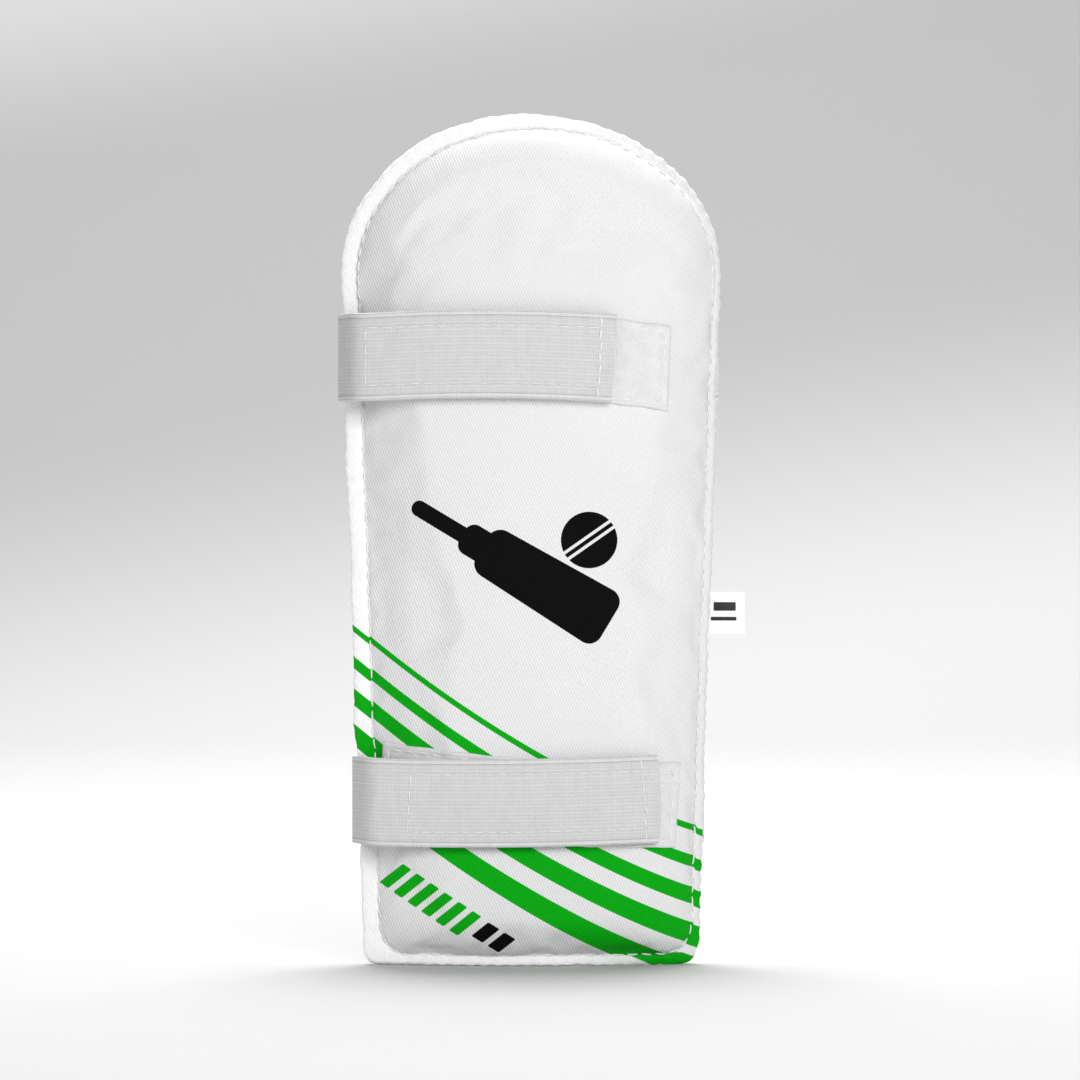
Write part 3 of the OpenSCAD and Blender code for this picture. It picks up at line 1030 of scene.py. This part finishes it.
def elastic_faces(along, across, start, stop):
    """Outer and inner face of the elastic: ribs, corded edges, and dents along the stitches that
    hold the hook tape from start to stop."""
    edge = STRAP_W / 2 - np.abs(across)
    ribs = np.where(edge > 1.25, 0.5 + 0.5 * np.cos(math.tau * across), 0.8)
    ribs = ribs * (1 - 0.9 * np.exp(-((edge - 1.05) / 0.16) ** 2))
    half = (ELASTIC_T / 2 - RIB_H + RIB_H * ribs) * eased_edge(edge, 0.5)
    middle = ELASTIC_T / 2 + 0.05 * np.sin(along / 7.3 + 1.1)[:, None]
    sewn = smooth_step(along - start + 0.5) * smooth_step(stop - along + 0.5)
    dents = sewn[:, None] * np.exp(-((np.abs(across) - TAPE_ROW) / DENT_W) ** 2) * DENT_DEPTH
    for place_u in (start, stop):
        dent = np.exp(-((along - place_u) / DENT_W) ** 2) * DENT_DEPTH
        dents += dent[:, None] * (np.abs(across) < TAPE_ROW)
    return middle + half - dents, middle - half + dents * 0.3


def hook_field(path, z):
    """Rows of small nylon hooks that stand towards the pad from the tape's face."""
    row_pitch, column_pitch, half_w, half_t = 1.25, 1.15, 0.1, 0.07
    profile = ((0, 0), (0.26, 0.02), (0.44, 0.08), (0.56, 0.24), (0.50, 0.42))
    along = lengths_along(path)
    normal = outward_of(path)
    last = (len(profile) - 1) * 4
    faces = tube_faces(len(profile), 4) + [(3, 2, 1, 0), (last, last + 1, last + 2, last + 3)]
    columns = int((HOOK_W - 1.6) / column_pitch)
    parts = []
    for number, place_u in enumerate(np.arange(0.9, along[-1] - 0.9, row_pitch)):
        spot = np.array([np.interp(place_u, along, path[:, k]) for k in (0, 1)])
        n = np.array([np.interp(place_u, along, normal[:, k]) for k in (0, 1)])
        way = np.array([-n[1], n[0]]) * (1 if number % 2 else -1)
        for c in range(columns):
            height = z + (c - (columns - 1) / 2) * column_pitch
            verts, uv = [], []
            for rise, shift in profile:
                base = spot - n * rise + way * (shift - 0.2)
                for a, b in ((-1, -1), (1, -1), (1, 1), (-1, 1)):
                    verts.append((*(base + way * a * half_t), height + b * half_w))
                    uv.append((place_u + shift, height + b * half_w - z))
            parts.append((np.array(verts), faces, np.array(uv)))
    return parts


def hook_tape(name, x0, x1, level, material):
    """A length of hook tape under the front run: a flat base with its field of hooks."""
    z, base_r = STRAPS[level]["z"], HOOK_R + 0.6
    path = arc_at(x0, x1, base_r, max(6, int(abs(x1 - x0) / 2)))
    across = np.concatenate([np.linspace(-HOOK_W / 2, -HOOK_W / 2 + 0.4, 3), np.linspace(-9, 9, 10),
                             np.linspace(HOOK_W / 2 - 0.4, HOOK_W / 2, 3)])
    half = (HOOK_T - 0.64) / 2 * eased_edge(HOOK_W / 2 - np.abs(across), 0.4) * np.ones((len(path), 1))
    middle = (HOOK_T - 0.62) / 2
    base = ribbon(path, z, across, middle + half, middle - half)
    piece = gathered(name, draped([base] + hook_field(path, z), level), material)
    sharp_ends(piece)
    return piece


def bending_places(level, path, cut):
    """Where a strap bends between the pad and its flap, and between its flap and its tip."""
    z = STRAPS[level]["z"]
    e = half_width(z + STRAP_W / 2)
    back_y = path[:, 1].max()
    beyond = arc_at(cut[0], cut[0] + 9, ELASTIC_R, 2)[1]
    turn = ("pad", level + "_flap", (-(e - 5.6) * MM, (back_y - 0.3) * MM, z * MM),
            (-(e - 2.0) * MM, (back_y - 18.5) * MM, z * MM))
    peel = (level + "_flap", level + "_tip", (*(cut * MM), z * MM), (*(beyond * MM), z * MM))
    return turn, peel


def make_elastic(level, path, cut_at, sewn_x, turn, peel, material):
    """The elastic of one strap, in two pieces that share the cross-section where it is cut."""
    z = STRAPS[level]["z"]
    along = lengths_along(path)
    front_x = path[:, 0] + np.where((path[:, 1] < 0) & (along > FRONT_FROM), 0, -1000)
    sewn_from, sewn_to = (along[int(np.argmin(abs(front_x - x)))] for x in sewn_x)
    half, band = STRAP_W / 2, STRAP_W / 2 - 1.25
    ribs = int(STRAP_W - 2.5)
    across = np.concatenate([np.linspace(-half, -band, 9)[:-1], np.linspace(-band, band, ribs * 4 + 1),
                             np.linspace(band, half, 9)[1:]])
    outer, inner = elastic_faces(along, across, sewn_from, sewn_to)
    for name, part, bodies, nodes in (
            ("elastic_band", slice(0, cut_at + 1), turn, ("strap_back", "strap_front")),
            ("elastic_end", slice(cut_at, None), peel, ("strap_tip",))):
        shape = ribbon(path[part], z, across, outer[part], inner[part], along[part])
        verts, faces, uv = draped([shape], level)[0]
        piece = make_piece(f"{level}_{name}", verts, faces, material, uv)
        sharp_ends(piece)
        place(piece, bodies, "elastic", *(f"{level}_{node}" for node in nodes))


def make_strap_stitches(level, cut_x, sewn_x, flap, peel, thread):
    """The stitches that hold the hook tape, and a heavier row across the strap's end."""
    strap = STRAPS[level]
    face, lean, row, full = on_elastic(strap["z"]), strap["lean"] / 2, TAPE_ROW, STRAP_W / 2 - 0.9
    left, right = sewn_x
    band = stitch_row([(cut_x, row), (left - lean, row), (left + lean, -row), (cut_x, -row)], face)
    tip = stitch_row([(right, row), (cut_x, row)], face)
    tip += stitch_row([(cut_x, -row), (right, -row)], face)
    tip += stitch_row([(right + lean, full), (right - lean, -full)], face, pitch=3.3, length=2.5,
                      thickness=strap["bold"], wobble=0.3)
    for part, node, parts, bodies in (("band", "front", band, flap), ("end", "tip", tip, peel)):
        place(gathered(f"{level}_{part}_stitches", draped(parts, level), thread), bodies, "thread",
              f"{level}_{node}_thread")


def make_anchor_stitches(level, path, thread):
    """The two rows that hold the strap's sewn end in the right edge."""
    z = STRAPS[level]["z"]
    along, normal = lengths_along(path), outward_of(path)
    anchors = []
    for place_u in (0.9, 2.4):
        i = int(np.argmin(abs(along - place_u)))
        spot = path[i] + normal[i] * ELASTIC_T
        for height in np.arange(-STRAP_W / 2 + 2.5, STRAP_W / 2 - 2, 3.4):
            ends = ((*spot, z + height + half) for half in (-1.3, 1.3))
            anchors.append(one_stitch(*ends, (*normal[i], 0)))
    place(gathered(f"{level}_anchor_stitches", anchors, thread), "pad", "thread",
          f"{level}_anchor_thread")


def make_strap(level, finishes):
    """One strap: elastic, hook tape and stitches, cut where the front lifts and the tip peels."""
    end, flap = STRAPS[level]["end"], level + "_flap"
    hook_from, hook_to = end - HOOK_IN - HOOK_LEN, end - HOOK_IN
    sewn_x = (hook_from + TAPE_SEW, hook_to - TAPE_SEW)
    plan = strap_plan(STRAPS[level]["z"], end)
    path = resampled(plan, int(lengths_along(plan)[-1] / 1.2))
    on_front = (path[:, 1] < 0) & (lengths_along(path) > FRONT_FROM)
    cut_at = int(np.flatnonzero(on_front & (path[:, 0] > end - TIP_LEN))[0])
    cut_x = path[cut_at, 0]
    turn, peel = bending_places(level, plan, path[cut_at])
    make_elastic(level, path, cut_at, sewn_x, turn, peel, finishes["elastic"])
    for part, node, x0, x1, bodies in (("front", "front", hook_from, cut_x - 0.1, flap),
                                       ("end", "tip", cut_x + 0.1, hook_to, peel)):
        place(hook_tape(f"{level}_hooks_{part}", x0, x1, level, finishes["hooks"]), bodies,
              "hook_tape", f"{level}_hook_{node}")
    make_strap_stitches(level, cut_x, sewn_x, flap, peel, finishes["thread"])
    make_anchor_stitches(level, path, finishes["thread"])


# ---- what is sewn to the pad ----

def on_cloth(tree, side=-1):
    """Point and outward normal on the pad's front, or with side 1 on its arm side."""
    far = 80

    def surface(x, z):
        hit, normal, _, _ = tree.ray_cast(Vector((x, side * far, z)), Vector((0, -side, 0)))
        return tuple(hit), tuple(normal)
    return surface


def make_patch(level, surface, finishes):
    """A loop patch: a tape with a thick pile, cut square and sewn down inside its edges."""
    strap = STRAPS[level]
    tilt = math.radians(strap["tilt"])
    c, s = math.cos(tilt), math.sin(tilt)

    def flat(a, b):
        droop = strap["droop"] * (a / PATCH_L * 2) ** 2
        return strap["patch_x"] + a * c + b * s, strap["patch_z"] - a * s + b * c - droop

    def spaced(length):
        inner = np.linspace(-length / 2 + 1.2, length / 2 - 1.2, int(length / 0.8))
        edge = np.array([0, 0.12, 0.4, 0.8])
        return np.concatenate([-length / 2 + edge, inner, length / 2 - edge[::-1]])

    a, b = np.meshgrid(spaced(PATCH_L), spaced(PATCH_W), indexing="ij")
    edge = np.minimum(PATCH_L / 2 - abs(a), PATCH_W / 2 - abs(b))
    rim = eased_edge(edge, 0.5)
    sewn = np.exp(-((edge - TAPE_SEW) / 0.5) ** 2)
    pile = rng.normal(0, 0.05, a.shape)
    ripple = 0.05 * np.sin(a * 1.9 + b) * np.sin(b * 2.3 - a * 0.4)
    height = (PATCH_T - 0.12) * (0.25 + 0.75 * rim) - 0.3 * sewn + (pile + ripple) * (edge > 0.3)
    wander = 0.12 * np.sin(a * 0.55 + 2 * b)
    rows, columns = a.shape
    tops, bottoms = [], []
    for i in range(rows):
        for j in range(columns):
            x, z = flat(a[i, j], b[i, j] + (wander[i, j] if edge[i, j] < 0.2 else 0))
            hit, normal = surface(x, z)
            hit, normal = np.array(hit), np.array(normal)
            tops.append(hit + normal * height[i, j])
            bottoms.append(hit + normal * 0.03)
    faces = [(k, k + columns, k + columns + 1, k + 1)
             for i in range(rows - 1) for k in range(i * columns, i * columns + columns - 1)]
    number = np.arange(rows * columns).reshape(rows, columns)
    ring = [*number[:, 0], *number[-1, 1:], *number[-2::-1, -1], *number[0, -2:0:-1]]
    verts, faces = slab(tops, bottoms, faces, [int(i) for i in ring])
    uv = np.stack([a.ravel(), b.ravel()], 1)
    piece = make_piece(f"{level}_loop_tape", verts, faces, finishes["loops"], np.concatenate([uv, uv]))
    place(piece, "pad", "loop_tape", f"{level}_loop_patch")

    def on_patch(p, q):
        hit, normal = surface(*flat(p, q))
        return tuple(np.array(hit) + np.array(normal) * (PATCH_T - 0.42)), normal

    half_l, half_w = PATCH_L / 2 - TAPE_SEW, PATCH_W / 2 - TAPE_SEW
    corners = [(half_l * p, half_w * q) for p, q in ((-1, -1), (1, -1), (1, 1), (-1, 1), (-1, -1))]
    place(gathered(f"{level}_tape_stitches", stitch_row(corners, on_patch, thickness=THREAD_D),
                   finishes["thread"]), "pad", "thread", f"{level}_patch_thread")


def make_edge_stitches(pad, thread):
    """The seam inside the border: one row of stitches on the front and one on the arm side."""
    loop, _, count = seam_line()
    even = resampled(loop, count)
    middles, ways = (even[:-1] + even[1:]) / 2, np.diff(even, axis=0)
    for side, node, key in ((-1, "edge_top_thread", "cover"), (1, "edge_bobbin_thread", "lining")):
        surface = on_cloth(pad[key + "_surface"], side)
        parts = []
        for middle, way in zip(middles, ways):
            half = way / np.linalg.norm(way) * STITCH_LEN / 2
            half = half + np.array([-half[1], half[0]]) * rng.uniform(-0.1, 0.1)
            start, normal = surface(*(middle - half))
            stop, _ = surface(*(middle + half))
            parts.append(one_stitch(start, stop, normal))
        name = {"cover": "edge_stitches_front", "lining": "edge_stitches_back"}[key]
        place(gathered(name, parts, thread), "pad", "thread", node)


def make_label(material):
    """The size label: a folded satin ribbon, sewn in behind the right border."""
    low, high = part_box("size_label")
    z, tall = (low.z + high.z) / 2 / MM, (high.z - low.z) / MM
    root, tip = low.x / MM, high.x / MM
    line = np.array([(root - 1.9, 16.4), (root + 0.3, 15.4), (root + 4, 14.7), (tip - 0.2, 14.1)])
    near, far = line - [0, 0.14], (line + [0, 0.14])[::-1]
    bend = [(tip, 14.0), (tip + 0.05, 14.12), (tip, 14.22)]
    path = resampled(np.concatenate([near, bend, far]), 60)
    top, rim, inner_top = tall / 2, tall / 2 - 0.08, tall / 2 - 0.5
    across = np.concatenate([[-top, -rim], np.linspace(-inner_top, inner_top, 12), [rim, top]])
    half = 0.1 * eased_edge(top - abs(across), 0.08) * np.ones((len(path), 1))
    verts, faces, uv = ribbon(path, z, across, half, -half)
    curl = smooth_step((verts[:, 0] - root) / (tip - root))
    verts[:, 1] += curl * ((verts[:, 2] - z) / tall * 2) ** 2 * 0.7
    piece = make_piece("size_tab", verts, faces, material, uv)
    sharp_ends(piece)
    start, stop = ((root + 0.2) * MM, 0.0154, z * MM), ((root + 3.2) * MM, 0.0150, z * MM)
    place(piece, ("pad", "label", start, stop), "label_satin", "size_label")


# ---- stage, light and camera ----

def backdrop():
    """A pale floor that sweeps up into a background darkened by painted shade."""
    finish = Finish("backdrop_paper", mapped=False)
    x, _, z = finish.axes
    # painted shade: the colour darkens up the sweep and towards the left, and lightens again near the top,
    # in place of the light's fall-off
    slant = z - x * 0.19
    grain = finish.noise(30, 2)
    colour = finish.mix(slant.eased(0, 260), (0.55, 0.55, 0.55), (0.353, 0.353, 0.353))
    colour = finish.mix(slant.eased(440, 620), colour, (0.50, 0.50, 0.50))
    material = finish.finish(colour, grain * 0.02, grain * 0.05 + 0.85, specular=0.1)
    sweep_r, floor_end, wall_top, half_w = 1000, 2200, 2600, 4000
    turn = [(floor_end + sweep_r * math.sin(t), sweep_r * (1 - math.cos(t)))
            for t in np.linspace(0, math.pi / 2, 24)]
    line = [(-5000, 0), (-200, 0)] + turn + [(floor_end + sweep_r, wall_top)]
    verts = [(x, y, z) for y, z in line for x in (-half_w, half_w)]
    faces = [(2 * k, 2 * k + 1, 2 * k + 3, 2 * k + 2) for k in range(len(line) - 1)]
    make_piece("backdrop", verts, faces, material)


def soft_light(name, place, target, size, power):
    """A square softbox that faces a point."""
    data = bpy.data.lights.new(name, "AREA")
    data.size = size
    data.energy = power
    light = bpy.data.objects.new(name, data)
    light.location = place
    aim = Vector(target) - Vector(place)
    light.rotation_euler = aim.to_track_quat("-Z", "Y").to_euler()
    light.visible_camera = False
    bpy.context.scene.collection.objects.link(light)


def studio():
    """Lights, world and the camera, which looks straight at the front from mid height."""
    scene = bpy.context.scene
    scene.view_settings.view_transform = "Standard"
    soft_light("key", (0.45, -1.88, 0.75), (0, 0, 0.12), 0.8, 24)
    soft_light("fill", (-1.3, -1.4, 0.4), (0, 0, 0.12), 1.2, 3.4)
    soft_light("top", (0, 0.52, 1.8), (0, 0.1, 0), 0.8, 34)
    soft_light("backdrop_wash", (0, 2.2, 2.2), (0, 2.3, 0), 2.0, 60)
    world = bpy.data.worlds.new("studio_air")
    world.use_nodes = True
    world.node_tree.nodes["Background"].inputs["Color"].default_value = (1, 1, 1, 1)
    world.node_tree.nodes["Background"].inputs["Strength"].default_value = 0.36
    scene.world = world
    view_w = 0.3067                 # width of the view at the pad
    distance = 2.0
    data = bpy.data.cameras.new("camera")
    data.sensor_width = 36
    data.lens = data.sensor_width * distance / view_w
    camera = bpy.data.objects.new("camera", data)
    camera.location = (0.0031, -distance, 0.121)
    camera.rotation_euler = (math.pi / 2, 0, 0)
    scene.collection.objects.link(camera)
    scene.camera = camera


# ---- the whole guard ----

def main():
    studio()
    backdrop()
    cover = cover_cloth()
    lining = plain_cloth("brushed_lining", (0.60, 0.60, 0.59), (0.86, 0.86, 0.85))
    pad = make_pad(cover, lining)
    for key, node, slot in (("cover", "front_cover", "cover_twill"),
                            ("lining", "back_lining", "lining_cloth")):
        place(pad[key], "pad", slot, node)
    make_filling(pad)
    finishes = {"elastic": elastic_cloth(), "hooks": hook_plastic(), "loops": loop_cloth(),
                "thread": thread_fibre()}
    make_edge_stitches(pad, finishes["thread"])
    for level in STRAPS:
        make_patch(level, on_cloth(pad["cover_surface"]), finishes)
        make_strap(level, finishes)
    make_label(label_satin())


main()
